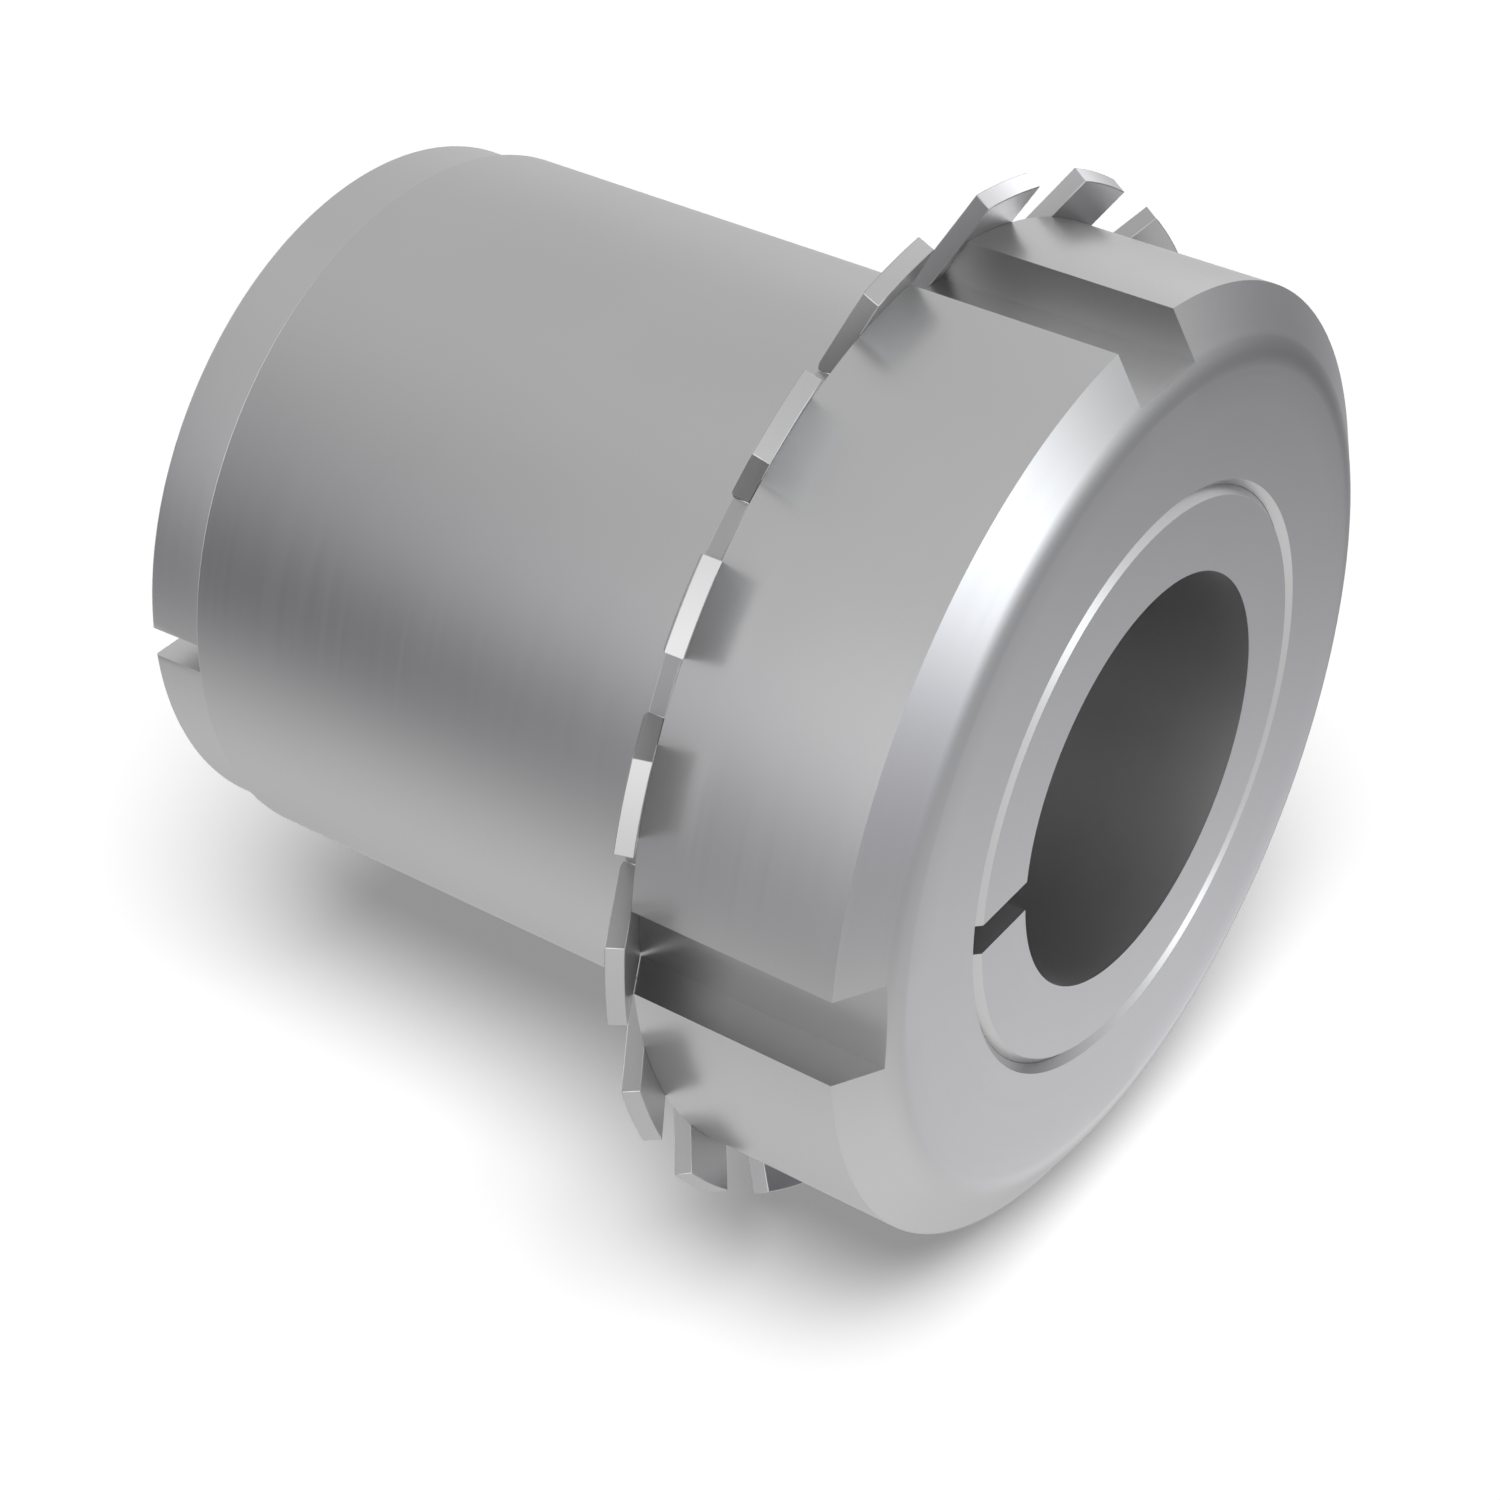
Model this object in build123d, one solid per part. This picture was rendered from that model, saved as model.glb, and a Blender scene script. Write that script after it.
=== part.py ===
from build123d import *
import math
import os

# Shaft locking assembly, in millimetres.
# A slit taper sleeve grips the shaft, a slit outer ring rides up its cone and grips the hub,
# and a slotted round nut with its tab washer drives the outer ring along the cone.
# The axis is +Z. The origin is the centre of the sleeve's rear face, and the nut is at the top.

# Shaft and hub
shaft_diameter = 14.0
hub_bore_diameter = 25.0

# Inner ring: a taper sleeve with a threaded front end
cone_taper = 1 / 8
clamping_travel = 2.3
inner_ring_slit_width = 1.1
inner_ring_rear_edge_radius = 0.3
thread_diameter = 20.0
thread_front_chamfer = 0.5
thread_relief_length = 0.6
thread_relief_depth = 0.65

# Outer ring: parallel outside, tapered inside
outer_ring_length = 18.75
outer_ring_rear_wall = 0.36
outer_ring_slit_width = 1.6
outer_ring_edge_chamfer = 0.12

# Lock washer with bent tabs
washer_thickness = 0.6
tab_count = 18
tab_width = 3.0
tab_length = 3.67
tongue_length = 1.5

# Slotted nut
nut_diameter = 32.0
nut_height = 9.25
nut_chamfer_angle = 30.0
nut_chamfer_height = 1.08
nut_face_blend_radius = 2.0
nut_bore_rear_chamfer = 0.3
slot_count = 4
slot_width = 3.2
slot_depth = 1.6

# Fits, each measured on the radius or on one side
cone_clearance = 0.03
thread_clearance = 0.05
washer_bore_clearance = 0.1
tab_clearance = 0.05
tongue_clearance = 0.1

# Worked out from the sizes above
shaft_radius = shaft_diameter / 2
hub_radius = hub_bore_diameter / 2
thread_radius = thread_diameter / 2 - thread_clearance
nut_bore_radius = thread_diameter / 2
nut_radius = nut_diameter / 2
nut_chamfer_slope = math.radians(nut_chamfer_angle)
nut_face_radius = nut_radius - nut_chamfer_height / math.tan(nut_chamfer_slope)

cone_length = outer_ring_length
outer_ring_rear = clamping_travel
outer_ring_front = outer_ring_rear + outer_ring_length
washer_front = outer_ring_front + washer_thickness
nut_front = washer_front + nut_height
overall_length = nut_front
cone_rear_radius = hub_radius - outer_ring_rear_wall - cone_clearance + cone_taper * clamping_travel / 2

slit_direction = 90.0
outer_slit_direction = slit_direction + 180.0
tab_pitch = 360.0 / tab_count
slot_pitch = 360.0 / slot_count


def cone_radius(height):
    """Radius of the taper at a height above the rear face."""
    return cone_rear_radius - cone_taper * height / 2


def turned(outline):
    """Solid turned from a closed outline of (radius, height) points."""
    profile = make_face(Plane.XZ * Polyline(*outline, close=True))
    return revolve(profile, Axis.Z)


def radial_bar(inner, outer, width, bottom, top, direction):
    """Straight bar that runs outwards from the axis in one direction, in degrees from +X."""
    bar = Box(
        outer - inner,
        width,
        top - bottom,
        align=(Align.MIN, Align.CENTER, Align.MIN),
    )
    return Rot(0, 0, direction) * Pos(inner, 0, bottom) * bar


def edges_at(solid, radius, height):
    """Circular edges of a turned solid that lie at one radius and height."""
    return [
        edge
        for edge in solid.edges().filter_by(GeomType.CIRCLE)
        if abs(edge.radius - radius) < 0.001 and abs(edge.arc_center.Z - height) < 0.001
    ]


def make_inner_ring():
    """Taper sleeve, largest at the rear, with a relief groove, a thread and one full slit."""
    shoulder = cone_length
    thread_start = shoulder + thread_relief_length
    relief_radius = thread_radius - thread_relief_depth
    body = turned(
        [
            (shaft_radius, 0),
            (cone_radius(0), 0),
            (cone_radius(shoulder), shoulder),
            (relief_radius, shoulder),
            (relief_radius, thread_start),
            (thread_radius, thread_start),
            (thread_radius, overall_length - thread_front_chamfer),
            (thread_radius - thread_front_chamfer, overall_length),
            (shaft_radius, overall_length),
        ]
    )
    body = fillet(edges_at(body, cone_radius(0), 0), inner_ring_rear_edge_radius)
    slit = radial_bar(
        0,
        hub_bore_diameter,
        inner_ring_slit_width,
        -clamping_travel,
        overall_length + clamping_travel,
        slit_direction,
    )
    return body - slit


def make_outer_ring():
    """Hub side of the fit: parallel outside, bore on the sleeve's cone, and one full slit."""
    body = turned(
        [
            (cone_radius(outer_ring_rear) + cone_clearance, outer_ring_rear),
            (hub_radius, outer_ring_rear),
            (hub_radius, outer_ring_front),
            (cone_radius(outer_ring_front) + cone_clearance, outer_ring_front),
        ]
    )
    outer_edges = edges_at(body, hub_radius, outer_ring_rear)
    outer_edges += edges_at(body, hub_radius, outer_ring_front)
    body = chamfer(outer_edges, outer_ring_edge_chamfer)
    slit = radial_bar(
        0,
        hub_bore_diameter,
        outer_ring_slit_width,
        outer_ring_rear - clamping_travel,
        outer_ring_front + clamping_travel,
        outer_slit_direction,
    )
    return body - slit


def make_lock_washer():
    """Pressed washer: a flat ring, a tongue in the sleeve's slit and bent tabs round its rim.

    The tabs are bent at the nut's rear rim and lie along its chamfer.
    """
    bore_radius = thread_diameter / 2 + washer_bore_clearance
    body_radius = nut_face_radius + tab_clearance
    bend = nut_chamfer_slope
    rim_out = tab_length * math.cos(bend)
    rim_up = tab_length * math.sin(bend)
    skin_out = washer_thickness * math.sin(bend)
    skin_up = washer_thickness * math.cos(bend)
    rear_bend_radius = body_radius + washer_thickness * math.tan(bend / 2)

    ring = turned(
        [
            (bore_radius, outer_ring_front),
            (body_radius, outer_ring_front),
            (body_radius, washer_front),
            (bore_radius, washer_front),
        ]
    )
    dish = turned(
        [
            (body_radius - washer_thickness, outer_ring_front),
            (rear_bend_radius, outer_ring_front),
            (body_radius + rim_out + skin_out, washer_front + rim_up - skin_up),
            (body_radius + rim_out, washer_front + rim_up),
            (body_radius, washer_front),
            (body_radius - washer_thickness, washer_front),
        ]
    )
    tab_space = [
        radial_bar(
            body_radius - washer_thickness / 2,
            nut_diameter,
            tab_width,
            outer_ring_front - washer_thickness,
            washer_front + tab_length,
            slit_direction + index * tab_pitch,
        )
        for index in range(tab_count)
    ]
    tongue = radial_bar(
        bore_radius - tongue_length,
        bore_radius + washer_thickness,
        inner_ring_slit_width - 2 * tongue_clearance,
        outer_ring_front,
        washer_front,
        slit_direction,
    )
    return ring + (dish & Compound(children=tab_space)) + tongue


def make_lock_nut():
    """Round nut: chamfered on both rims, a soft edge on its front face, slots for a spanner."""
    nut_rear = washer_front
    body = turned(
        [
            (nut_bore_radius + nut_bore_rear_chamfer, nut_rear),
            (nut_face_radius, nut_rear),
            (nut_radius, nut_rear + nut_chamfer_height),
            (nut_radius, nut_front - nut_chamfer_height),
            (nut_face_radius, nut_front),
            (nut_bore_radius, nut_front),
            (nut_bore_radius, nut_rear + nut_bore_rear_chamfer),
        ]
    )
    body = fillet(edges_at(body, nut_face_radius, nut_front), nut_face_blend_radius)
    for index in range(slot_count):
        body -= radial_bar(
            nut_radius - slot_depth,
            nut_diameter,
            slot_width,
            nut_rear - slot_depth,
            nut_front + slot_depth,
            slit_direction + index * slot_pitch,
        )
    return body


parts = {
    "inner_ring": make_inner_ring(),
    "outer_ring": make_outer_ring(),
    "lock_washer": make_lock_washer(),
    "lock_nut": make_lock_nut(),
}

os.makedirs("parts", exist_ok=True)
for name, shape in parts.items():
    shape.label = name
    export_step(shape, f"parts/{name}.step")
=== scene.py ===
# %% [markdown]
# # A shaft locking assembly in turned, ground and pressed steel
#
# The real object is four pieces of bare steel on one axis: a slit taper sleeve, a slit outer ring,
# a lock washer with bent tabs and a slotted nut. The CAD solids hold their sizes and places.
# This file builds what the eye adds to them: a real thread, edges with the tool's tiny chamfer,
# rounded bends, and steel that shows how each piece was made.

# %% Load the CAD frame
import math

import bmesh
import bpy
from mathutils import Matrix, Vector


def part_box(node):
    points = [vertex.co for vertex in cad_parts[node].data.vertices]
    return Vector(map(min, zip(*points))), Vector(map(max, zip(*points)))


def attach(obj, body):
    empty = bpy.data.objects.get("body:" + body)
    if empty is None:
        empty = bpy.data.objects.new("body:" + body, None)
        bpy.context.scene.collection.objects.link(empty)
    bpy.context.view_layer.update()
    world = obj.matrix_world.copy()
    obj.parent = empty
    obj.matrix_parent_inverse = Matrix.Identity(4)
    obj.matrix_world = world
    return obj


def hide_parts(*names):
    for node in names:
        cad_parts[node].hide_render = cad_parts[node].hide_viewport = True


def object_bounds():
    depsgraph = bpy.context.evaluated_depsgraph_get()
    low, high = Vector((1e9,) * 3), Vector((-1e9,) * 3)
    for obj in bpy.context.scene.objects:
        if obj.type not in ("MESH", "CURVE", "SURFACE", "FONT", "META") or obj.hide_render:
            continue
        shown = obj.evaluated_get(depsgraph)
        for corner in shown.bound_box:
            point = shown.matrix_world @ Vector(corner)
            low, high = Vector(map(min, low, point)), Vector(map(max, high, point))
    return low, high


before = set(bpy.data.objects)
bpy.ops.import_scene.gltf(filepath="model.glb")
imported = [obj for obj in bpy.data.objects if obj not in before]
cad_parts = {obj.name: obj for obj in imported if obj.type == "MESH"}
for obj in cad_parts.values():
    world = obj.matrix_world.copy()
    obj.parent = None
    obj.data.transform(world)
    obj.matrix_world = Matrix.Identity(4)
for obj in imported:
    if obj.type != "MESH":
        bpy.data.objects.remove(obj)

cad_low, cad_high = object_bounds()
print("CAD box in mm:", [round(1000 * value, 2) for value in (*cad_low, *cad_high)])

# %% [markdown]
# ## Sizes
#
# Lengths are millimetres where no comment says metres, because that is how a drawing of such a part
# is read. Blender gets metres, so each length is multiplied by `MM` on its way there. What the
# frame can tell is read from it, so the visible pieces land on the solids, and what one piece alone
# needs is written with that piece. `TOUCH` is how near a point has to be to count as on a surface.
#
# A few small sizes differ from the solids. The tabs are a touch longer and closer to the nut, as
# the photo shows them. The sleeve's rear edge and the outer ring's edges are finer than the solids',
# because in this light a rounder edge goes white against the paper and makes the rear end look
# narrower than the photo's.

# %% Sizes read from the frame
MM = 0.001
TOUCH = 0.01


def box_mm(node):
    """Lowest and highest corner of a CAD node, in millimetres."""
    low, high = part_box(node)
    return low / MM, high / MM


length = box_mm("inner_ring")[1].z
hub_radius = box_mm("outer_ring")[1].x
ring_rear = box_mm("outer_ring")[0].z
ring_front = box_mm("outer_ring")[1].z
nut_rear = box_mm("lock_nut")[0].z
nut_front = box_mm("lock_nut")[1].z
print("length", round(length, 2), "hub radius", round(hub_radius, 2), "nut from", round(nut_rear, 2))

# %% Sizes that several pieces share, in millimetres and degrees
shaft_radius = 7.0
slit_width = 1.1
slit_direction = 90.0
thread_diameter = 20.0
cone_taper = 1 / 8
cone_gap = 0.03
ring_rear_wall = 0.36
slot_width = 3.2
cone_rear_radius = hub_radius - ring_rear_wall - cone_gap + cone_taper * ring_rear / 2
# The nut's box ends at the corners of its slots, so the radius is worked out from a corner.
nut_radius = math.hypot(box_mm("lock_nut")[1].x, slot_width / 2)
print("nut radius", round(nut_radius, 2), "cone rear radius", round(cone_rear_radius, 2))

# %% [markdown]
# ## How the meshes are made
#
# Every piece goes round the axis, so its mesh is made of columns round it, and each column is the
# outline of a cut through the piece at one angle. Where a slit or a slot has flat parallel walls,
# the columns next to it keep a fixed distance from the slot's middle line at every radius. The wall
# is then truly flat, with no boolean and no slivers. Last, a fine bevel breaks the edges, as the
# maker's file does.

# %% Points and the angles of columns
def at(radius, angle, height):
    """Point at a radius, an angle in radians and a height."""
    return (radius * math.cos(angle), radius * math.sin(angle), height)


def between_walls(direction, width, share, count=1):
    """Function of radius: the angle at a share of the way from one slot's wall to the next one's.

    The slots, or tabs, have parallel walls a width apart, and count of them share the turn.
    """

    def angle(radius):
        half = math.asin(width / 2 / radius)
        return math.radians(direction) + half + share * (2 * math.pi / count - 2 * half)

    return angle


def beside_line(direction, across):
    """Function of radius: the angle at a fixed distance from a line straight out of the axis."""
    return lambda radius: math.radians(direction) + math.asin(across / radius)


first_wall = between_walls(slit_direction, slit_width, share=0)
print("slit wall starts at", round(math.degrees(first_wall(shaft_radius)), 2), "degrees in the bore",
      "and", round(math.degrees(first_wall(hub_radius)), 2), "at the hub")

# %% Meshes, edges and objects
merge_distance = 0.0001
sharp_angle = 32
bevel_steps = 2


def loft(columns, joined):
    """Mesh through columns of points, each a closed loop; joined closes it round the axis."""
    mesh = bmesh.new()
    rows = len(columns[0])
    grid = [[mesh.verts.new(Vector(point) * MM) for point in column] for column in columns]
    count = len(grid)
    for index in range(count if joined else count - 1):
        here, there = grid[index], grid[(index + 1) % count]
        for row in range(rows):
            above = (row + 1) % rows
            mesh.faces.new((here[row], there[row], there[above], here[above]))
    if not joined:
        mesh.faces.new(grid[0])
        mesh.faces.new(list(reversed(grid[-1])))
    bmesh.ops.remove_doubles(mesh, verts=mesh.verts, dist=merge_distance * MM)
    bmesh.ops.dissolve_degenerate(mesh, edges=mesh.edges, dist=merge_distance * MM)
    bmesh.ops.recalc_face_normals(mesh, faces=mesh.faces)
    return mesh


def mark_edges(mesh, least_angle, wanted=None, outer=1.0):
    """Gives a bevel weight to the wanted edges that turn by more than an angle in degrees.

    An inner corner gets the whole bevel and an outer one a share of it.
    """
    weight = mesh.edges.layers.float.new("bevel_weight_edge")
    for edge in mesh.edges:
        if len(edge.link_faces) != 2 or edge.calc_face_angle() < math.radians(least_angle):
            continue
        middle = (edge.verts[0].co + edge.verts[1].co) / 2 / MM
        if wanted is None or wanted(math.hypot(middle.x, middle.y), middle.z):
            edge[weight] = 1.0 if edge.calc_face_angle_signed() < 0 else outer


def place(name, mesh, edge_size):
    """Object from a bmesh, shaded smooth, with its marked edges broken by a fine bevel."""
    data = bpy.data.meshes.new(name)
    mesh.to_mesh(data)
    mesh.free()
    data.polygons.foreach_set("use_smooth", [True] * len(data.polygons))
    data.set_sharp_from_angle(angle=math.radians(sharp_angle))
    piece = bpy.data.objects.new(name, data)
    bpy.context.scene.collection.objects.link(piece)
    broken = piece.modifiers.new("broken_edges", "BEVEL")
    broken.limit_method = "WEIGHT"
    broken.width = edge_size * MM
    broken.segments = bevel_steps
    broken.use_clamp_overlap = True
    level = piece.modifiers.new("flat_faces", "WEIGHTED_NORMAL")
    level.keep_sharp = True
    print(name, "faces before bevels:", len(data.polygons))
    return piece


print("bevels are", bevel_steps, "steps round; faces that meet above", sharp_angle, "degrees stay sharp")

# %% [markdown]
# ## The thread
#
# M20x1 is a fine metric thread: 1 mm of travel a turn, flanks at 60 degrees, drawn 0.56 mm deep. It
# could be faked with bump, but the nut runs off it here, and its outline would then be smooth. So
# the rows of the mesh climb the helix, one turn a pitch. Rows that pass an end of the thread are
# held on it, and the merge of doubles closes them up.

# %% The thread's rows
thread_pitch = 1.0
thread_depth = 0.56
thread_crest_share = 1 / 16
flank_angle = math.radians(30)
thread_flank_share = thread_depth * math.tan(flank_angle) / thread_pitch
root_round_depth = 0.04
root_round_share = 0.05
row_shares = (-0.0625, 0.0625, 0.22, 0.38, 0.44, 0.5, 0.56, 0.62, 0.78)
spare_turns = 2


def depth_at(share):
    """Depth of the thread below its crest, at a share of the pitch from the crest's middle."""
    away = abs(share - round(share))
    slope = (away - thread_crest_share) / thread_flank_share
    ramp = min(max(slope, 0.0), 1.0)
    rounding = root_round_depth * math.exp(-((away - 0.5) / root_round_share) ** 2)
    return thread_depth * ramp + rounding


def thread_rows(bottom, top, crest_radius, angle_at):
    """Points of one column along the helix from bottom to top, as (radius, angle, height)."""
    points = []
    first = math.floor(bottom / thread_pitch) - spare_turns
    last = math.ceil(top / thread_pitch) + spare_turns
    for turn in range(first, last):
        for share in row_shares:
            angle = angle_at(crest_radius)
            lead = angle / (2 * math.pi)
            height = min(max(thread_pitch * (turn + share + lead), bottom), top)
            radius = crest_radius - depth_at(height / thread_pitch - lead)
            points.append((radius, angle_at(radius), height))
    return points


print("thread rows a turn:", len(row_shares), "depth at the root:", round(depth_at(0.5), 2), "mm")

# %% [markdown]
# ## Inner ring: the taper sleeve
#
# A lathe turned this from bar, then a saw cut it open from end to end so that it can close on the
# shaft. It is thickest at the rear, where the cone is largest, and its front end carries the
# thread. The saw cut is straight, so both its walls are flat and parallel. The band that shows
# behind the outer ring is drawn with a little less taper than the cone, which brings its tone
# nearer to the photo's.

# %% The sleeve's sizes and its cone
rear_land_taper = 0.075
rear_edge = 0.1
relief_length = 0.6
relief_radius = 9.3
thread_end_chamfer = 0.5
thread_crest_cut = 0.02
thread_runout = 0.4
thread_start_slope = 1.5
bore_margin = 1.5

sleeve_columns = 300
round_steps = 5
cone_rows = (4.0, 8.0, 12.0, 16.0)

shoulder = ring_front - ring_rear
thread_start = shoulder + relief_length
thread_crest = thread_diameter / 2 - thread_crest_cut


def cone_radius(height):
    """Radius of the sleeve's cone at a height."""
    return cone_rear_radius - cone_taper * height / 2


def land_radius(height):
    """Radius of the sleeve's rear band at a height below the outer ring."""
    return cone_radius(ring_rear) + rear_land_taper / 2 * (ring_rear - height)


def rear_round(radius, size):
    """Quarter round from the rear face to a radius, as (radius, height) points."""
    angles = [math.radians(90 * step / round_steps) for step in range(round_steps + 1)]
    return [(radius - size + size * math.sin(turn), size - size * math.cos(turn)) for turn in angles]


print("cone from", round(cone_radius(0), 2), "to", round(cone_radius(shoulder), 2), "mm in radius")

# %% The sleeve's columns
def sleeve_column(share):
    """One column of the sleeve: rear face, cone, relief, thread, front chamfer and bore."""
    angle_at = between_walls(slit_direction, slit_width, share)
    outline = [(shaft_radius, 0.0)]
    outline += rear_round(land_radius(0), rear_edge)
    outline += [(cone_radius(height), height) for height in (ring_rear, *cone_rows, shoulder)]
    outline += [(relief_radius, shoulder), (relief_radius, thread_start)]
    points = [at(radius, angle_at(radius), height) for radius, height in outline]
    chamfer_start = length - thread_end_chamfer
    for radius, _, height in thread_rows(thread_start, chamfer_start, thread_crest, angle_at):
        groove = min(1.0, (chamfer_start - height) / thread_runout)
        cut = thread_crest - (thread_crest - radius) * groove
        kept = min(cut, relief_radius + (height - thread_start) * thread_start_slope)
        points.append(at(kept, angle_at(kept), height))
    front_edge = thread_crest - thread_end_chamfer
    points.append(at(front_edge, angle_at(front_edge), length))
    bore = [(shaft_radius, length), (shaft_radius, length / 2)]
    points += [at(radius, angle_at(radius), height) for radius, height in bore]
    return points


def sleeve_edge(radius, height):
    """True where the sleeve's edges are broken: all but the thread's turns and the rear round."""
    thread_end = length - thread_end_chamfer - TOUCH
    outside = radius > shaft_radius + bore_margin
    on_thread = outside and thread_start - 10 * TOUCH < height < thread_end
    on_rear_round = outside and height < rear_edge + 5 * TOUCH
    return not on_thread and not on_rear_round


columns = [sleeve_column(step / sleeve_columns) for step in range(sleeve_columns + 1)]
mesh = loft(columns, joined=False)
mark_edges(mesh, least_angle=35, wanted=sleeve_edge)
sleeve = place("taper_sleeve", mesh, edge_size=0.03)

# %% [markdown]
# ## Outer ring
#
# The hub sits on this ring. Its outside is ground parallel and its bore is a cone that matches the
# sleeve's, so it is thin at the rear and thick at the front. Its own saw cut lies opposite to the
# sleeve's, where the camera doesn't see it. The mesh is made in the same way as the sleeve's.

# %% Outer ring
ring_slit_width = 1.6
ring_edge = 0.04
ring_columns = 300


def ring_column(share):
    """One column of the outer ring: bore cone, two chamfered rims and the parallel outside."""
    angle_at = between_walls(slit_direction + 180, ring_slit_width, share)
    outline = [
        (cone_radius(ring_rear) + cone_gap, ring_rear),
        (hub_radius - ring_edge, ring_rear),
        (hub_radius, ring_rear + ring_edge),
        (hub_radius, ring_front - ring_edge),
        (hub_radius - ring_edge, ring_front),
        (cone_radius(ring_front) + cone_gap, ring_front),
    ]
    return [at(radius, angle_at(radius), height) for radius, height in outline]


columns = [ring_column(step / ring_columns) for step in range(ring_columns + 1)]
mesh = loft(columns, joined=False)
mark_edges(mesh, least_angle=35)
outer_ring = place("outer_ring_ground", mesh, edge_size=0.015)

# %% [markdown]
# ## Lock nut
#
# A round nut with four slots for a hook spanner. Both rims have a 30 degree chamfer, and the front
# one rolls softly into the face. In the columns of a slot, the points of the rim drop to the slot's
# flat floor at the same height, so the quads between the last full column and the first slot
# column become the wall. The bore's mouth has a small chamfer that meets the sleeve's, and the two
# make the bright fine groove round the sleeve's end.

# %% The nut's sizes and its two ends
nut_chamfer_angle = 30.0
nut_chamfer_height = 1.08
nut_blend_radius = 2.0
nut_mouth_gap = 0.015
nut_thread_fit = 0.03
nut_rear_lead_in = 0.25
slot_count = 4
slot_depth = 1.6
lip_run = 0.05

slot_steps = 8
land_steps = 68
blend_steps = 4
nut_face_rows = (11.0, 12.5)
nut_rear_row = 12.0

nut_slope = math.radians(nut_chamfer_angle)
nut_face_radius = nut_radius - nut_chamfer_height / math.tan(nut_slope)
bore_clear_radius = thread_diameter / 2
floor_distance = nut_radius - slot_depth
nut_thread_crest = thread_crest + nut_thread_fit
blend_start = nut_face_radius - nut_blend_radius * math.tan(nut_slope / 2)
blend_end = blend_start + nut_blend_radius * math.sin(nut_slope)
lip_depth = (bore_clear_radius - (thread_crest - thread_end_chamfer) - nut_mouth_gap) / 2
lip_radius = bore_clear_radius - lip_depth
lip_start = nut_front - lip_depth - (nut_thread_crest - lip_radius)


def nut_front_height(radius):
    """Height of the nut's front at a radius: flat face, round blend, then the chamfer."""
    if radius <= blend_start:
        return nut_front
    if radius <= blend_end:
        drop = nut_blend_radius - math.sqrt(nut_blend_radius ** 2 - (radius - blend_start) ** 2)
        return nut_front - drop
    return nut_front - (radius - nut_face_radius) * math.tan(nut_slope)


def nut_rear_height(radius):
    """Height of the nut's rear at a radius: flat face, then the chamfer."""
    return nut_rear + max(0.0, radius - nut_face_radius) * math.tan(nut_slope)


print("nut face radius", round(nut_face_radius, 2), "slot floor at", round(floor_distance, 2))

# %% One column of the nut
def nut_column(angle_at, across=None):
    """One column of the nut; across is the distance from a slot's middle line, in a slot."""
    slot_edge = math.hypot(floor_distance, slot_width / 2)
    meets = slot_edge if across is None else math.hypot(floor_distance, across)
    blend_run = slot_edge - blend_start
    blend = [blend_start + blend_run * step / blend_steps for step in range(1, blend_steps)]
    inner_front = [bore_clear_radius, *nut_face_rows, blend_start, *blend]
    rim = [
        (blend_end, nut_front_height(blend_end)),
        (nut_radius, nut_front - nut_chamfer_height),
        (nut_radius, (nut_front + nut_rear) / 2),
        (nut_radius, nut_rear + nut_chamfer_height),
    ]
    points = []
    thread_top = lip_start - lip_run
    for radius, _, height in thread_rows(nut_rear, thread_top, nut_thread_crest, angle_at):
        kept = max(radius, bore_clear_radius + nut_rear_lead_in - (height - nut_rear))
        points.append(at(kept, angle_at(kept), height))
    mouth = [(nut_thread_crest, thread_top), (nut_thread_crest, lip_start)]
    mouth += [(lip_radius, nut_front - lip_depth)]
    points += [at(radius, angle_at(radius), height) for radius, height in mouth]
    for radius in inner_front + [meets]:
        points.append(at(radius, angle_at(radius), nut_front_height(radius)))
    for radius, height in rim:
        kept = radius if across is None else meets
        points.append(at(kept, angle_at(kept), height))
    for radius in (meets, nut_face_radius, nut_rear_row):
        points.append(at(radius, angle_at(radius), nut_rear_height(radius)))
    return points


def nut_edge(radius, height):
    """True where the nut's edges are broken: not on the thread, nor where the tabs lie on."""
    chamfer_top = nut_rear + nut_chamfer_height + 5 * TOUCH
    under_tabs = radius > nut_radius - 2 * TOUCH and height < chamfer_top
    return radius > bore_clear_radius - TOUCH and not under_tabs


first_column = nut_column(beside_line(slit_direction, 0.0), across=0.0)
print("points in a column of the nut:", len(first_column))

# %% All columns of the nut
columns = []
for slot in range(slot_count):
    direction = slit_direction + slot * 360 / slot_count
    for step in range(slot_steps + 1):
        across = slot_width * (step / slot_steps - 0.5)
        columns.append(nut_column(beside_line(direction, across), across))
    for step in range(land_steps + 1):
        span = between_walls(direction, slot_width, step / land_steps, slot_count)
        columns.append(nut_column(span))
mesh = loft(columns, joined=True)
mark_edges(mesh, least_angle=20, wanted=nut_edge, outer=0.5)
nut = place("slotted_nut", mesh, edge_size=0.08)

# %% [markdown]
# ## Lock washer
#
# The press blanks this from sheet and bends up its tabs. The mesh follows the same steps: a flat
# pattern in columns, with no faces in the gaps, a bend that lifts the tabs, then a thickness. The
# tabs lie along the nut's rear chamfer, and a tongue holds the washer in the sleeve's slit.

# %% The washer's sizes and its bent sheet
washer_thickness = nut_rear - ring_front
washer_front = nut_rear
washer_bore_radius = 10.1
tab_count = 18
tab_width = 3.0
tab_length = 3.71
tab_gap = 0.01
tab_bend_radius = 0.12
tongue_length = 1.5
tongue_width = 0.9

inner_line = 1.0
tab_lines = (-tab_width / 2, -inner_line, -tongue_width / 2, 0.0,
             tongue_width / 2, inner_line, tab_width / 2)
tongue_middle = 0.6
face_rows = (11.0, 12.0, 13.0, 13.7)
gap_steps = 3
bend_steps = 3
tab_steps = 4

tab_root = nut_face_radius + tab_gap
bend_start = tab_root - tab_bend_radius * math.tan(nut_slope / 2)
bend_run = tab_bend_radius * nut_slope
straight_run = tab_length - tab_bend_radius * math.tan(nut_slope / 2)


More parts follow.
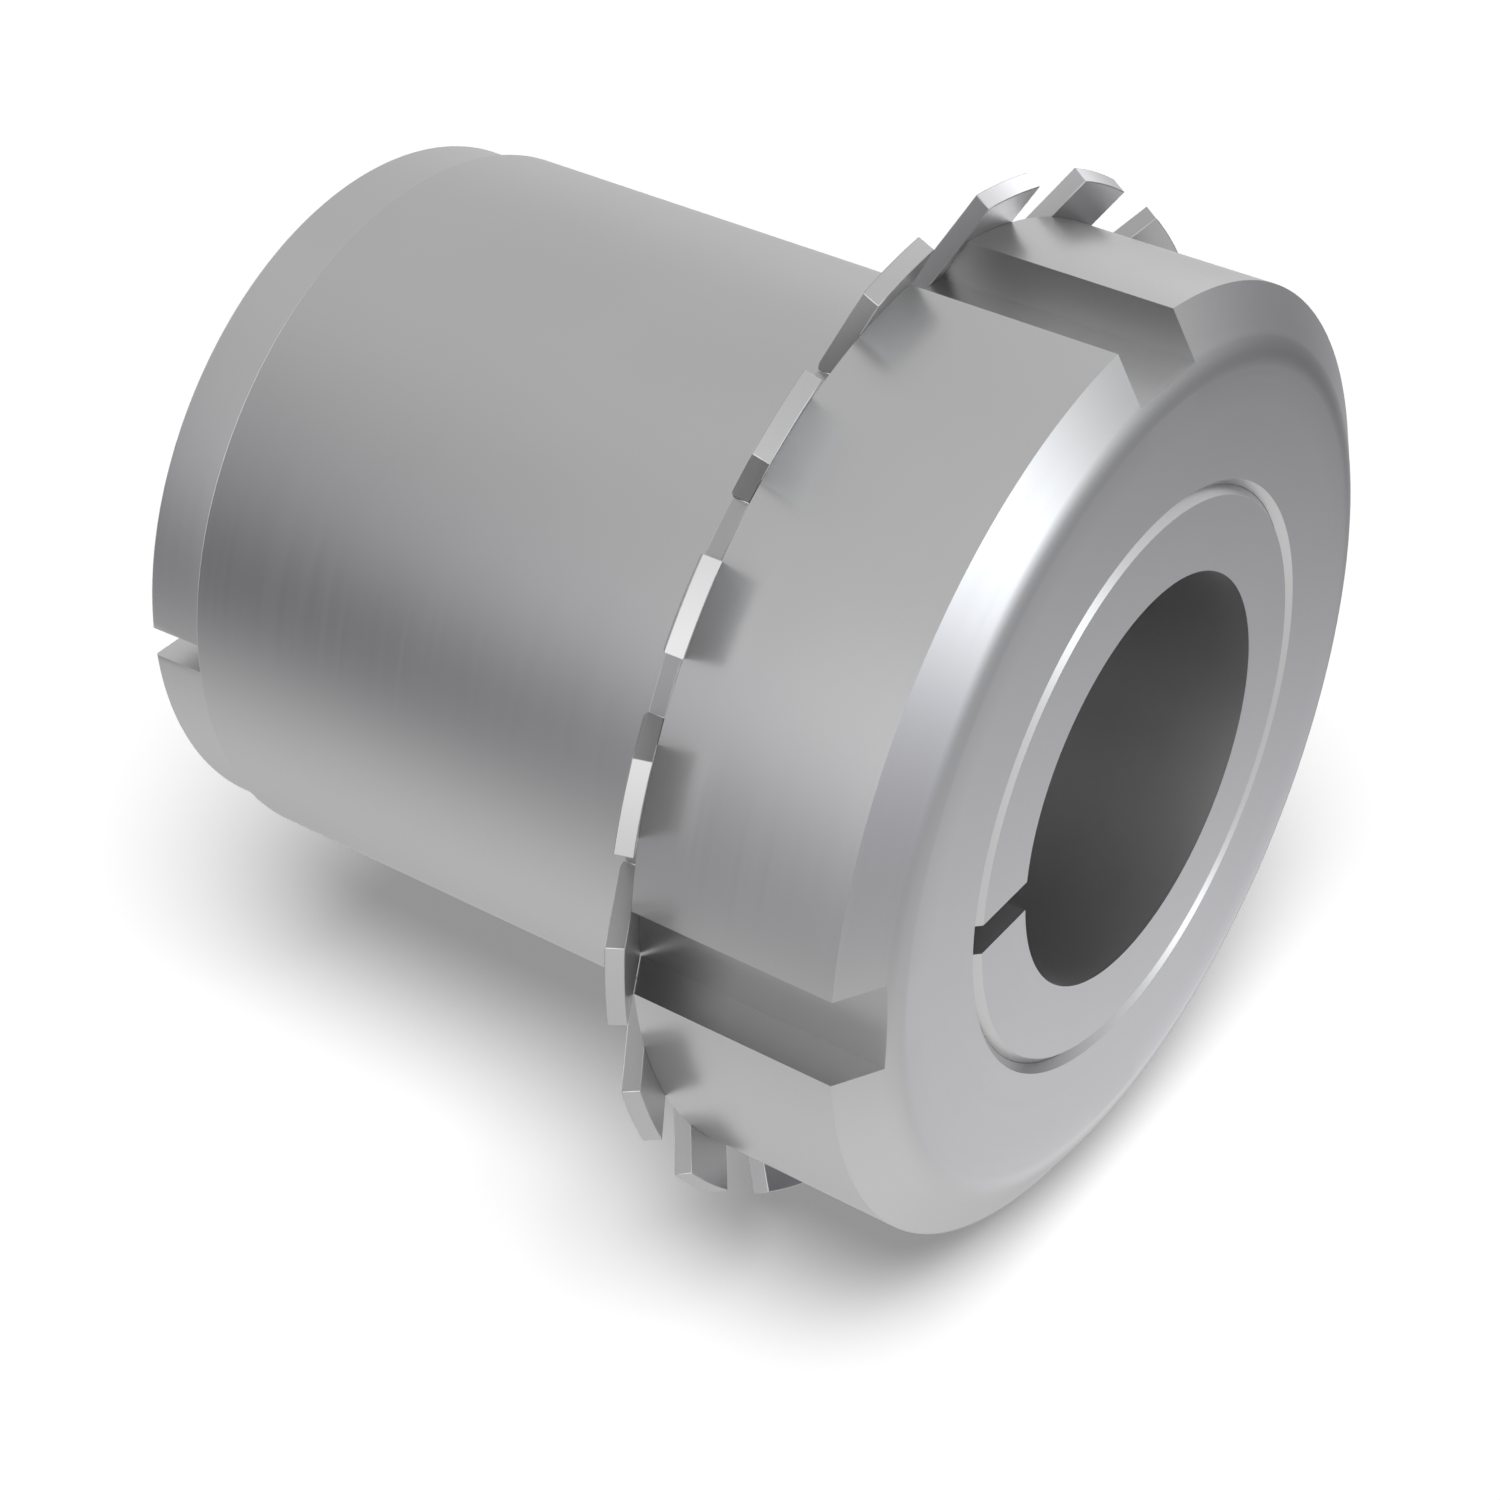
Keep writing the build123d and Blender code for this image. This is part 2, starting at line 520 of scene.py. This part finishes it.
def bent(run):
    """(radius, height) of the washer's front face at a distance run past the start of the bend."""
    if run <= bend_run:
        turn = run / tab_bend_radius
        rise = tab_bend_radius * (1 - math.cos(turn))
        return bend_start + tab_bend_radius * math.sin(turn), washer_front + rise
    radius, height = bent(bend_run)
    rest = run - bend_run
    return radius + rest * math.cos(nut_slope), height + rest * math.sin(nut_slope)


def sheet_point(run):
    """Front and rear (radius, height) of the washer's sheet at a distance run past the bend's start."""
    turn = min(max(run / tab_bend_radius, 0.0), nut_slope)
    radius, height = bent(run) if run > 0 else (bend_start + run, washer_front)
    rear = (radius + washer_thickness * math.sin(turn), height - washer_thickness * math.cos(turn))
    return (radius, height), rear


print("tab tip at radius and height", [round(value, 2) for value in bent(bend_run + straight_run)])

# %% The strips of the washer's pattern
ring_runs = [radius - bend_start for radius in (washer_bore_radius, *face_rows, bend_start)]
tab_runs = [bend_run * step / bend_steps for step in range(1, bend_steps + 1)]
tab_runs += [bend_run + straight_run * step / tab_steps for step in range(1, tab_steps + 1)]
tongue_runs = [washer_bore_radius - reach - bend_start for reach in (tongue_length, tongue_middle)]

strips = []
for tab in range(tab_count):
    direction = slit_direction + tab * 360 / tab_count
    for across in tab_lines:
        on_tongue = tab == 0 and abs(across) <= tongue_width / 2
        strips.append((beside_line(direction, across), True, on_tongue))
    for step in range(1, gap_steps):
        span = between_walls(direction, tab_width, step / gap_steps, tab_count)
        strips.append((span, False, False))
print("strips round the washer:", len(strips))

# %% The washer's faces, front and rear, and the rim between them
mesh = bmesh.new()
rear_of = {}
grid = []
for angle_at, on_tab, on_tongue in strips:
    column = {}
    runs = ring_runs + (tab_runs if on_tab else []) + (tongue_runs if on_tongue else [])
    for run in sorted(runs):
        front, rear = sheet_point(run)
        column[run] = mesh.verts.new(Vector(at(front[0], angle_at(front[0]), front[1])) * MM)
        rear_of[column[run]] = mesh.verts.new(Vector(at(rear[0], angle_at(rear[0]), rear[1])) * MM)
    grid.append(column)

for index, here in enumerate(grid):
    there = grid[(index + 1) % len(grid)]
    runs = [run for run in here if run in there]
    for run, after in zip(runs, runs[1:]):
        corners = (here[run], here[after], there[after], there[run])
        mesh.faces.new(corners)
        mesh.faces.new([rear_of[corner] for corner in reversed(corners)])
for edge in [edge for edge in mesh.edges if len(edge.link_faces) == 1]:
    start, end = edge.verts
    if start in rear_of and end in rear_of:
        mesh.faces.new((start, end, rear_of[end], rear_of[start]))
bmesh.ops.recalc_face_normals(mesh, faces=mesh.faces)
mark_edges(mesh, least_angle=40)
washer = place("tab_washer", mesh, edge_size=0.035)

# %% [markdown]
# ## Steel
#
# All four pieces are bare carbon steel. What tells them apart is the tool that made them: a lathe,
# a grinding wheel, a rolling mill with a press, a boring tool, a saw, and a milling cutter in the
# nut's slots. The bore and the saw cut are also painted lighter, as painted light in these hollows,
# and the slots darker, as painted shade deep in them. A helper turns a written colour into linear
# light, and another adds one node with its settings and links.

# %% Colour and node helpers
def linear(colour):
    """Linear RGBA from an sRGB hex colour such as #AABBCC."""
    channels = [int(colour[i:i + 2], 16) / 255 for i in (1, 3, 5)]
    curve = [c / 12.92 if c <= 0.04045 else ((c + 0.055) / 1.055) ** 2.4 for c in channels]
    return (*curve, 1.0)


def add(tree, kind, settings=None, links=None):
    """Adds one node: settings go to its attributes or input sockets, links to its sockets."""
    node = tree.nodes.new(kind)
    for key, value in (settings or {}).items():
        if isinstance(key, str) and hasattr(node, key):
            setattr(node, key, value)
        else:
            node.inputs[key].default_value = value
    for key, source in (links or {}).items():
        tree.links.new(source, node.inputs[key])
    return node


print("written #C5C5C5 is", round(linear("#C5C5C5")[0], 3), "in linear light")

# %% [markdown]
# ## Marks of the lathe and the grinding wheel
#
# Turning and grinding both leave marks that run round the axis. So the pattern is noise that
# changes fast along the height and the radius and slowly round the axis. It is 4D noise on the
# unit circle, the height and the radius, which has no seam. Real feed marks are 0.05 to 0.1 mm
# apart, too fine to show from here, so they are drawn about twice as coarse. Most of the noise lies
# between 0.3 and 0.7, so that range is what moves the roughness. A second, soft noise with patches
# of about 5.5 mm, 180 to the metre, varies the colour by a shade, so no face is quite even.

# %% Marks round the axis
patches_per_metre = 180.0
usual_marks = (0.3, 0.7)
roughness_swing = 0.015


def lathe_marks(tree, spacing_mm, around):
    """Noise round the axis, spacing_mm apart along the surface.

    A turn has about as many cells as around says, and a few in a hundred more.
    """
    point = add(tree, "ShaderNodeTexCoord").outputs["Object"]
    parts = add(tree, "ShaderNodeSeparateXYZ", links={0: point})
    flat = add(tree, "ShaderNodeCombineXYZ", links={0: parts.outputs[0], 1: parts.outputs[1]})
    radius = add(tree, "ShaderNodeVectorMath", {"operation": "LENGTH"}, {0: flat.outputs[0]})
    unit = add(tree, "ShaderNodeVectorMath", {"operation": "NORMALIZE"}, {0: flat.outputs[0]})
    circle_radius = around / 6.0
    turn = add(tree, "ShaderNodeVectorMath", {"operation": "SCALE", 3: circle_radius},
               {0: unit.outputs[0]})
    per_metre = 1 / (spacing_mm * MM)
    height = add(tree, "ShaderNodeMath", {"operation": "MULTIPLY", 1: per_metre},
                 {0: parts.outputs[2]})
    out = add(tree, "ShaderNodeMath", {"operation": "MULTIPLY", 1: per_metre},
              {0: radius.outputs["Value"]})
    lift = add(tree, "ShaderNodeCombineXYZ", links={2: height.outputs[0]})
    where = add(tree, "ShaderNodeVectorMath", {"operation": "ADD"},
                {0: turn.outputs[0], 1: lift.outputs[0]})
    return add(tree, "ShaderNodeTexNoise", {"noise_dimensions": "4D", "Scale": 1.0, "Detail": 3.0,
               "Roughness": 0.6}, {"Vector": where.outputs[0], "W": out.outputs[0]}).outputs["Fac"]


print("colour patches are about", round(1 / (patches_per_metre * MM), 1), "mm across")

# %% Steel that follows the marks
def steel(name, colour, dark, roughness, spacing_mm, around, depth_mm):
    """Bare steel whose colour, roughness and relief all follow one pattern of tool marks."""
    material = bpy.data.materials.new(name)
    material.use_nodes = True
    tree = material.node_tree
    tree.nodes.clear()
    marks = lathe_marks(tree, spacing_mm, around)
    cloud = add(tree, "ShaderNodeTexNoise", {"Scale": patches_per_metre, "Detail": 2.0},
                {"Vector": add(tree, "ShaderNodeTexCoord").outputs["Object"]})
    # Sockets 6 and 7 of a colour mix are its two colours.
    tint = add(tree, "ShaderNodeMix", {"data_type": "RGBA", 6: linear(dark), 7: linear(colour)},
               {0: cloud.outputs["Fac"]})
    rough = add(tree, "ShaderNodeMapRange", {
        "From Min": usual_marks[0],
        "From Max": usual_marks[1],
        "To Min": roughness - roughness_swing,
        "To Max": roughness + roughness_swing,
    }, {"Value": marks})
    relief = add(tree, "ShaderNodeBump", {"Strength": 0.5, "Distance": depth_mm * MM},
                 {"Height": marks})
    surface = add(tree, "ShaderNodeBsdfPrincipled", {"Metallic": 1.0},
                  {"Base Color": tint.outputs[2], "Roughness": rough.outputs["Result"],
                   "Normal": relief.outputs[0]})
    add(tree, "ShaderNodeOutputMaterial", links={"Surface": surface.outputs[0]})
    return material


print("the marks move the roughness by", roughness_swing, "either way")

# %% The six steels
# Turned: soft bands of light along the axis, with faint rings round it.
turned_sleeve = steel("steel_fine_turned_sleeve", "#C6C6C6", "#C1C1C1", 0.32,
                      spacing_mm=0.16, around=5, depth_mm=0.0008)
# Ground: the same bands, smoother and a little crisper, the cleanest surface of all.
ground_ring = steel("steel_cylindrical_ground", "#C3C3C3", "#BFBFBF", 0.30,
                    spacing_mm=0.10, around=9, depth_mm=0.0005)
# Turned with a sharp tool: broad soft faces and bright rims where the chamfers catch a box.
turned_nut = steel("steel_fine_turned_nut", "#C5C5C5", "#C1C1C1", 0.31,
                   spacing_mm=0.18, around=5, depth_mm=0.0008)
# Cold rolled sheet, pressed: a darker grey, which sets the row of tabs off from the nut.
rolled_washer = steel("steel_cold_rolled_pressed", "#B4B4B4", "#B0B0B0", 0.31,
                      spacing_mm=0.30, around=14, depth_mm=0.0005)
# Milled slots with painted shade: a shade darker than the turned faces, for the shade deep in each slot,
# so that each slot reads as a deep cut.
slot_painted_shade = steel("steel_slot_painted_shade", "#BDBDBD", "#B9B9B9", 0.32,
                    spacing_mm=0.12, around=9, depth_mm=0.0005)
# Bored and sawn faces with painted light: a lighter steel than the sleeve's outside, for light that
# reaches into these hollows, which keeps the bore and the slit from going black.
bore_and_slit_painted_light = steel("steel_bore_and_slit_painted_light", "#D0D0D0", "#CBCBCB", 0.32,
                    spacing_mm=0.16, around=5, depth_mm=0.0008)
print("materials:", [m.name for m in bpy.data.materials if m.name.startswith("steel")])

# %% [markdown]
# ## Each piece gets its steel and its body
#
# A visible piece rides on the body that moves it and stands for the CAD node that it dresses, which
# is hidden. The table also lists the material slot that the record gives that node, which is not
# used here. The sleeve's bore and saw cut get a lighter steel, painted light in these hollows, and
# the nut's slots a darker one, painted shade deep in them, picked out by where each face lies.

# %% Materials and bodies
fit_up = [
    (sleeve, turned_sleeve, "sleeve", "inner_ring", "turned_steel_sleeve"),
    (outer_ring, ground_ring, "ring", "outer_ring", "ground_steel_ring"),
    (washer, rolled_washer, "washer", "lock_washer", "pressed_steel_washer"),
    (nut, turned_nut, "nut", "lock_nut", "turned_steel_nut"),
]
for piece, material, body, node, slot_name in fit_up:
    piece.data.materials.append(material)
    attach(piece, body)
    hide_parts(node)
    print(piece.name, "rides on", body)

# %% The bore and the saw cut of the sleeve
# Painted light: the faces of the bore and the slit get the lighter steel.
sleeve.data.materials.append(bore_and_slit_painted_light)
for face in sleeve.data.polygons:
    centre = face.center / MM
    in_bore = math.hypot(centre.x, centre.y) < shaft_radius + TOUCH
    in_slit = abs(centre.x) < slit_width / 2 + TOUCH and centre.y > 0
    if in_bore or in_slit:
        face.material_index = 1
print("faces in the bore and the slit:", sum(face.material_index for face in sleeve.data.polygons))

# %% The milled slots of the nut
# Painted shade: the faces inside the slots get the darker steel.
nut.data.materials.append(slot_painted_shade)
for face in nut.data.polygons:
    centre = face.center / MM
    for index in range(slot_count):
        direction = math.radians(slit_direction + index * 360 / slot_count)
        along = centre.x * math.cos(direction) + centre.y * math.sin(direction)
        across = centre.y * math.cos(direction) - centre.x * math.sin(direction)
        if along > floor_distance - TOUCH and abs(across) < slot_width / 2 + TOUCH:
            face.material_index = 1
print("faces in the slots:", sum(face.material_index for face in nut.data.polygons))

# %% [markdown]
# ## Camera
#
# The photo looks at the nut's face from the side and a little above, through a long lens, with the
# part's axis slanting down to the right. The part stands on its rear end here, so the same view is
# a camera 27 degrees above the horizontal, rolled about its own axis. The numbers come from
# fitting this camera to the edges in the photo.

# %% Camera
view_azimuth = math.radians(137.309)
view_elevation = math.radians(27.347)
view_roll = math.radians(-112.823)
view_distance = 112.734
view_target = Vector((-2.867, 2.645, 17.649))
photo_lens = 81.0

backwards = Vector((
    math.sin(view_azimuth) * math.cos(view_elevation),
    -math.cos(view_azimuth) * math.cos(view_elevation),
    math.sin(view_elevation),
))
camera_data = bpy.data.cameras.new("camera")
camera_data.lens = photo_lens
camera_data.sensor_width = 36.0
camera_data.clip_start = 0.005
camera_data.clip_end = 20.0
camera = bpy.data.objects.new("camera", camera_data)
bpy.context.scene.collection.objects.link(camera)
camera.location = (view_target + backwards * view_distance) * MM
level_look = (-backwards).to_track_quat("-Z", "Y").to_matrix()
up = level_look.col[1]
side = level_look.col[0]
rolled_up = up * math.cos(view_roll) + side * math.sin(view_roll)
rolled_side = side * math.cos(view_roll) - up * math.sin(view_roll)
look = Matrix((rolled_side, rolled_up, backwards)).transposed()
camera.rotation_mode = "QUATERNION"
camera.rotation_quaternion = look.to_quaternion()
bpy.context.scene.camera = camera
print("camera at", [round(value, 4) for value in camera.location])

# %% [markdown]
# ## Light
#
# Bare metal shows its surroundings, so the studio matters more than the lamps. A photographer works
# in a white tent and hangs soft boxes and grey cards in it, and the metal shows them as soft
# bands. Here the tent is the world at a strength of 1, and each box or card is a soft spot in it,
# given by where it hangs as seen from the part: degrees to the right of the camera, degrees up.
# A box adds to the tent's 1 and a card takes from it. The boxes on the right lean a little to
# blue, which is what makes grey steel look cold and clean. Most places and strengths come from a
# fit to the tones of the steel in the photo, and were then rounded or changed.

# %% The boxes and cards
plain = (1.0, 1.0, 1.0)
cool = (0.96, 1.0, 1.04)
blue = (1.01, 1.0, 1.06)
grey = (1.0, 1.0, 0.98)
panels = [
    # name, degrees right of the camera, degrees up, brightness added, degrees to half of it, tint
    ("soft box by the camera, left", -33, -10, 1.60, 23, plain),
    ("soft box by the camera, right", 73, -5, 2.60, 10, cool),
    ("soft box by the camera, high", 51, 9, 1.90, 10, cool),
    ("soft box under it", 71, -25, 0.85, 11, blue),
    ("soft box low behind", 142, -17, 0.86, 8, blue),
    ("soft box low right", 128, -38, 0.13, 10, plain),
    ("soft box high, right", 134, 43, 3.20, 10, blue),
    ("soft box high, beside the camera", 87, 61, 0.40, 18, plain),
    ("soft box, far left", -114, 17, 1.80, 17, plain),
    ("soft box round the camera", -5, -12, 0.59, 30, plain),
    ("grey card, left", -77, -2, -1.18, 34, grey),
    ("grey card, right", 129, 1, -0.80, 25, grey),
    ("grey card, low right", 70, -26, -1.11, 21, grey),
    ("grey card, behind", -170, -5, -0.43, 29, grey),
    ("grey card, above", 155, 79, -0.29, 42, plain),
]


def from_camera(right_degrees, up_degrees):
    """World direction at so many degrees right of the camera and up, as the picture stands."""
    around = math.radians(right_degrees)
    lift = math.radians(up_degrees)
    flat = rolled_side * math.sin(around) + backwards * math.cos(around)
    return flat * math.cos(lift) + rolled_up * math.sin(lift)


print("boxes and cards in the tent:", len(panels))

# %% The white tent with its boxes and cards
darkest = (0.03, 0.03, 0.03)
white = (1.0, 1.0, 1.0, 1.0)
world = bpy.data.worlds.new("studio")
bpy.context.scene.world = world
world.use_nodes = True
tree = world.node_tree
tree.nodes.clear()
view = add(tree, "ShaderNodeTexCoord").outputs["Generated"]
level = add(tree, "ShaderNodeCombineXYZ", {0: 1.0, 1: 1.0, 2: 1.0}).outputs[0]
for name, right_degrees, up_degrees, brightness, half_width, tint in panels:
    centre = from_camera(right_degrees, up_degrees)
    near = add(tree, "ShaderNodeVectorMath", {"operation": "DOT_PRODUCT", 1: tuple(centre)}, {0: view})
    fall = math.log(2) / (1 - math.cos(math.radians(half_width)))
    depth = add(tree, "ShaderNodeMath", {"operation": "MULTIPLY_ADD", 1: fall, 2: -fall},
                {0: near.outputs["Value"]})
    spot = add(tree, "ShaderNodeMath", {"operation": "EXPONENT"}, {0: depth.outputs[0]})
    colour = tuple(brightness * part for part in tint)
    level = add(tree, "ShaderNodeVectorMath", {"operation": "MULTIPLY_ADD", 1: colour},
                {0: spot.outputs[0], 2: level}).outputs[0]
    print(name, "towards", [round(value, 2) for value in centre])
least = add(tree, "ShaderNodeVectorMath", {"operation": "MAXIMUM", 1: darkest}, {0: level})
tent = add(tree, "ShaderNodeBackground", {"Strength": 1.0}, {"Color": least.outputs[0]})
backdrop = add(tree, "ShaderNodeBackground", {"Color": white, "Strength": 1.0})
shown = add(tree, "ShaderNodeMixShader", links={
    0: add(tree, "ShaderNodeLightPath").outputs["Is Camera Ray"],
    1: tent.outputs[0],
    2: backdrop.outputs[0],
})
add(tree, "ShaderNodeOutputWorld", links={"Surface": shown.outputs[0]})

# %% [markdown]
# ## Floor
#
# In the photo the part lies on its side, on the rims of its tabs, so the floor in the picture is
# an upright sheet beside the standing part. It is matt white paper with a lamp of its own, which
# the metal doesn't show, so the shadow can be as deep and as soft as the photo's. Neither the
# tent nor the metal lights the paper, or they would fill that shadow. A faint even glow stands for
# what the tent would add. The metal looks through the paper at the tent, and from behind the
# paper is clear, so it hides nothing.

# %% Lamp that draws the shadow
shadow_strength = 2.85
shadow_softness = 32
shadow_data = bpy.data.lights.new("shadow_lamp", "SUN")
shadow_data.energy = shadow_strength
shadow_data.angle = math.radians(shadow_softness)
shadow_lamp = bpy.data.objects.new("shadow_lamp", shadow_data)
bpy.context.scene.collection.objects.link(shadow_lamp)
shadow_from = Vector((1.0, 0.38, 0.30)).normalized()
shadow_lamp.rotation_mode = "QUATERNION"
shadow_lamp.rotation_quaternion = (-shadow_from).to_track_quat("-Z", "Y")
shadow_lamp.visible_glossy = False
world.cycles_visibility.diffuse = False
for piece in (sleeve, outer_ring, washer, nut):
    piece.visible_diffuse = False
print("shadow lamp hangs towards", [round(value, 2) for value in shadow_from])

# %% Paper of the floor
paper_glow = 0.29
paper = bpy.data.materials.new("paper_matt_white")
paper.use_nodes = True
tree = paper.node_tree
tree.nodes.clear()
path = add(tree, "ShaderNodeLightPath")
matt = add(tree, "ShaderNodeBsdfDiffuse", {"Color": linear("#F4F4F4")})
glow = add(tree, "ShaderNodeEmission", {"Color": white, "Strength": paper_glow})
both = add(tree, "ShaderNodeAddShader", links={0: matt.outputs[0], 1: glow.outputs[0]})
seen = add(tree, "ShaderNodeMixShader", links={
    0: path.outputs["Is Camera Ray"], 1: matt.outputs[0], 2: both.outputs[0]})
mirrored = add(tree, "ShaderNodeMath", {"operation": "MAXIMUM"},
               {0: path.outputs["Is Glossy Ray"], 1: path.outputs["Is Shadow Ray"]})
through = add(tree, "ShaderNodeMath", {"operation": "MAXIMUM"}, {
    0: mirrored.outputs[0],
    1: add(tree, "ShaderNodeNewGeometry").outputs["Backfacing"],
})
surface = add(tree, "ShaderNodeMixShader", links={
    0: through.outputs[0],
    1: seen.outputs[0],
    2: add(tree, "ShaderNodeBsdfTransparent").outputs[0],
})
add(tree, "ShaderNodeOutputMaterial", links={"Surface": surface.outputs[0]})
print("nodes in the paper:", len(tree.nodes))

# %% The floor itself, with its reach and place in metres
floor_reach = 2.0
floor_gap = 0.10
floor_place = cad_low[0] - floor_gap * MM
floor_mesh = bpy.data.meshes.new("floor")
floor_mesh.from_pydata([
    (floor_place, -floor_reach, -floor_reach),
    (floor_place, floor_reach, -floor_reach),
    (floor_place, floor_reach, floor_reach),
    (floor_place, -floor_reach, floor_reach),
], [], [(0, 1, 2, 3)])
floor_mesh.materials.append(paper)
floor = bpy.data.objects.new("floor", floor_mesh)
bpy.context.scene.collection.objects.link(floor)
print("floor at x", round(floor_place / MM, 2), "mm, faces", floor_mesh.polygons[0].normal[:])

# %% [markdown]
# ## Picture settings
#
# The Standard view keeps a written colour as it is, with no film curve over it, so greys can be
# compared with the photo's.

# %% Picture settings
bpy.context.scene.view_settings.view_transform = "Standard"
